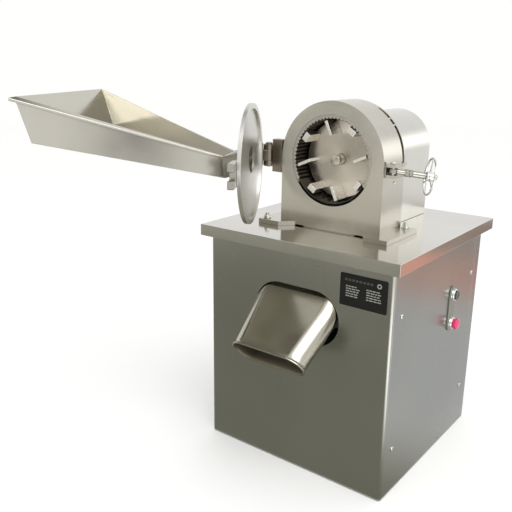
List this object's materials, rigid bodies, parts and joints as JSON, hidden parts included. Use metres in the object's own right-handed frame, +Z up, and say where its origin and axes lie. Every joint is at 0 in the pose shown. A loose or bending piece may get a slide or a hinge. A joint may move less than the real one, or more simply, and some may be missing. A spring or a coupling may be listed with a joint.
{
  "type": "hammer mill",
  "caption": "Stainless steel hammer mill on a floor cabinet, with a tray hopper on a swing door, a beater disc in a toothed ring, belt drive and front discharge chute.",
  "frame": {"origin": "centre of the cabinet's underside, on the floor", "axes": "+Z up, the discharge chute faces -Y, the shaft lies along Y, the switches are at +X"},
  "size_m": [0.819, 0.8922, 0.834],
  "materials": {
    "sheet_steel": "brushed stainless sheet",
    "cast_steel": "machined and bead-blasted stainless",
    "polished_steel": "polished stainless",
    "zinc_steel": "bright turned steel",
    "perforated_steel": "perforated stainless",
    "motor_paint": "satin paint",
    "cast_iron": "as cast",
    "belt_rubber": "matt rubber",
    "black_plate": "satin black",
    "switch_plate": "satin",
    "start_green": "gloss",
    "stop_red": "gloss",
    "chrome": "bright"
  },
  "bodies": {
    "cabinet": {"base_pan": "sheet_steel", "front_panel": "sheet_steel", "side_panel": "sheet_steel", "left_panel": "sheet_steel", "rear_panel": "sheet_steel", "top_slab": "sheet_steel", "belt_guard": "sheet_steel", "mill_housing": "cast_steel", "toothed_ring": "cast_steel", "hinge_bracket": "cast_steel", "clevis": "cast_steel", "discharge_chute": "polished_steel", "panel_screw_1": "zinc_steel", "panel_screw_2": "zinc_steel", "panel_screw_3": "zinc_steel", "panel_screw_4": "zinc_steel", "left_foot_bolt": "zinc_steel", "right_foot_bolt": "zinc_steel", "front_bearing": "zinc_steel", "rear_bearing": "zinc_steel", "guard_spacer_1": "zinc_steel", "guard_spacer_2": "zinc_steel", "guard_spacer_3": "zinc_steel", "hinge_pin": "zinc_steel", "clevis_pin": "zinc_steel", "screen": "perforated_steel", "motor_body": "motor_paint", "motor_end_shield": "motor_paint", "motor_fan_cover": "motor_paint", "motor_base": "cast_iron", "bearing_housing": "cast_iron", "front_belt": "belt_rubber", "rear_belt": "belt_rubber", "nameplate": "black_plate", "switch_plate": "switch_plate", "start_bezel": "chrome", "stop_bezel": "chrome"},
    "rotor": {"main_shaft": "zinc_steel", "rotor_disc": "sheet_steel", "hub_nut": "zinc_steel", "shaft_pulley": "cast_iron", "peg_1": "polished_steel", "peg_2": "polished_steel", "peg_3": "polished_steel", "peg_4": "polished_steel", "beater_blade_1": "polished_steel", "beater_blade_2": "polished_steel", "beater_blade_3": "polished_steel", "beater_blade_4": "polished_steel"},
    "motor_rotor": {"motor_shaft": "zinc_steel", "motor_pulley": "cast_iron"},
    "door": {"door_plate": "polished_steel", "door_arm": "cast_steel", "clamp_lug": "cast_steel", "inlet_neck": "sheet_steel", "hopper": "sheet_steel"},
    "swing_bolt": {"swing_bolt": "zinc_steel"},
    "handwheel": {"handwheel": "chrome"},
    "start_button": {"start_button": "start_green"},
    "stop_button": {"stop_button": "stop_red"}
  },
  "joints": [
    {"name": "door_hinge", "type": "hinge", "parent": "cabinet", "child": "door", "pos_m": [-0.1612, -0.1157, 0.695], "axis": [0, 0, 1], "range_deg": [-57, 62.5]},
    {"name": "motor_spin", "type": "hinge", "parent": "cabinet", "child": "motor_rotor", "pos_m": [0.01, 0, 0.15], "axis": [0, 1, 0], "continuous": true},
    {"name": "rotor_spin", "type": "hinge", "parent": "cabinet", "child": "rotor", "pos_m": [0.01, 0, 0.695], "axis": [0, 1, 0], "continuous": true},
    {"name": "bolt_pivot", "type": "hinge", "parent": "cabinet", "child": "swing_bolt", "pos_m": [0.15, -0.103, 0.6865], "axis": [-0.06, -0.1235, -0.9905], "range_deg": [-10, 128.4]},
    {"name": "handwheel_spin", "type": "hinge", "parent": "swing_bolt", "child": "handwheel", "pos_m": [0.21084, -0.05547, 0.67537], "axis": [0.78, 0.6094, -0.1426], "continuous": true},
    {"name": "start_press", "type": "slide", "parent": "cabinet", "child": "start_button", "axis": [-1, 0, 0], "range_m": [0, 0.004], "stiffness_N_per_m": 400, "springref_m": -0.001},
    {"name": "stop_press", "type": "slide", "parent": "cabinet", "child": "stop_button", "axis": [-1, 0, 0], "range_m": [0, 0.004], "stiffness_N_per_m": 400, "springref_m": -0.001}
  ],
  "couplings": [
    {"joint": "rotor_spin", "follows": "motor_spin", "ratio": 1.8}
  ]
}
